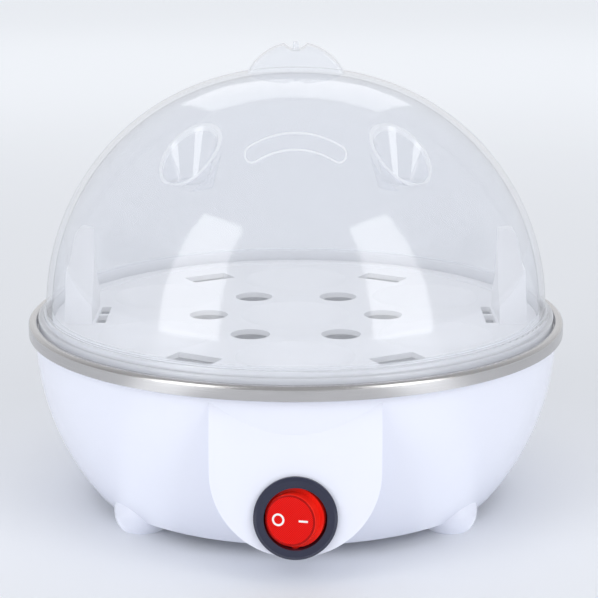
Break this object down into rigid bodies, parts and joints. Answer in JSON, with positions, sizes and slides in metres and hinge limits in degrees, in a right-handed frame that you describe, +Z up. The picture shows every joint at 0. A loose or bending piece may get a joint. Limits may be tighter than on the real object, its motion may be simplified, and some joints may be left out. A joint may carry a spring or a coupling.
{
  "type": "egg cooker",
  "caption": "Round electric egg cooker: white bowl base with a rocker switch, steel heating dish, egg tray with upright grips and a translucent domed lid with steam vents.",
  "frame": {"origin": "on the dish's vertical axis, in the plane that the four feet stand on", "axes": "+Z up along the dish axis, -Y towards the rocker switch, +X to the right seen from the switch side"},
  "size_m": [0.164, 0.1748, 0.1394],
  "materials": {
    "lid_clear": "translucent, glossy",
    "tray_white": "satin",
    "base_white": "glossy",
    "cover_white": "fine texture",
    "steel": "brushed round the rim",
    "seal": "matte",
    "screw_zinc": "zinc plated",
    "shield_tin": "bright tinplate",
    "cast_aluminium": "as cast",
    "heater_sheath": "heat dulled",
    "ceramic": "unglazed ceramic",
    "phenolic": "moulded phenolic",
    "brass": "plain",
    "fuse_case": "plated case",
    "glass_sleeve": "woven glass fibre",
    "switch_black": "satin black",
    "rocker_red": "translucent red",
    "gland_white": "soft matte",
    "nylon": "natural nylon",
    "lead_brown": "insulation",
    "lead_red": "insulation",
    "lead_blue": "insulation"
  },
  "bodies": {
    "base": {"base_shell": "base_white", "bottom_cover": "cover_white", "heating_dish": "steel", "rim_seal": "seal", "cover_screws": "screw_zinc", "dish_screws": "screw_zinc", "dish_standoffs": "screw_zinc", "heat_shield": "shield_tin", "spreader_plate": "cast_aluminium", "heater_tube": "heater_sheath", "heater_beads": "ceramic", "heater_pins": "screw_zinc", "thermostat_cap": "cast_aluminium", "thermostat_body": "phenolic", "thermostat_strap": "shield_tin", "strap_screws": "screw_zinc", "thermostat_blades": "brass", "thermal_fuse": "fuse_case", "fuse_sleeve": "glass_sleeve", "fuse_clip": "shield_tin", "switch_housing": "switch_black", "switch_blades": "brass", "cord_gland": "gland_white", "terminal_block": "nylon", "terminal_screws": "brass", "lead_live": "lead_brown", "lead_switched": "lead_red", "lead_neutral": "lead_blue", "lead_fuse": "lead_blue", "lead_heater": "lead_blue"},
    "lid": {"lid": "lid_clear"},
    "tray": {"egg_tray": "tray_white"},
    "rocker": {"switch_rocker": "rocker_red", "switch_plunger": "brass"},
    "contact": {"contact_lever": "brass"}
  },
  "joints": [
    {"name": "tray_lift", "type": "slide", "parent": "base", "child": "tray", "axis": [0, 0, 1], "range_m": [0, 0.09]},
    {"name": "lid_lift", "type": "slide", "parent": "tray", "child": "lid", "axis": [0, 0, 1], "range_m": [0, 0.1]},
    {"name": "rocker_tilt", "type": "hinge", "parent": "base", "child": "rocker", "pos_m": [0, -0.08051, 0.01913], "axis": [0, 0.1132, 0.9936], "range_deg": [0, 34]},
    {"name": "contact_tilt", "type": "hinge", "parent": "base", "child": "contact", "pos_m": [0, -0.07306, 0.01828], "axis": [0, 0.1132, 0.9936], "range_deg": [-16, 0]}
  ],
  "couplings": [
    {"joint": "contact_tilt", "follows": "rocker_tilt", "ratio": -0.47059}
  ]
}
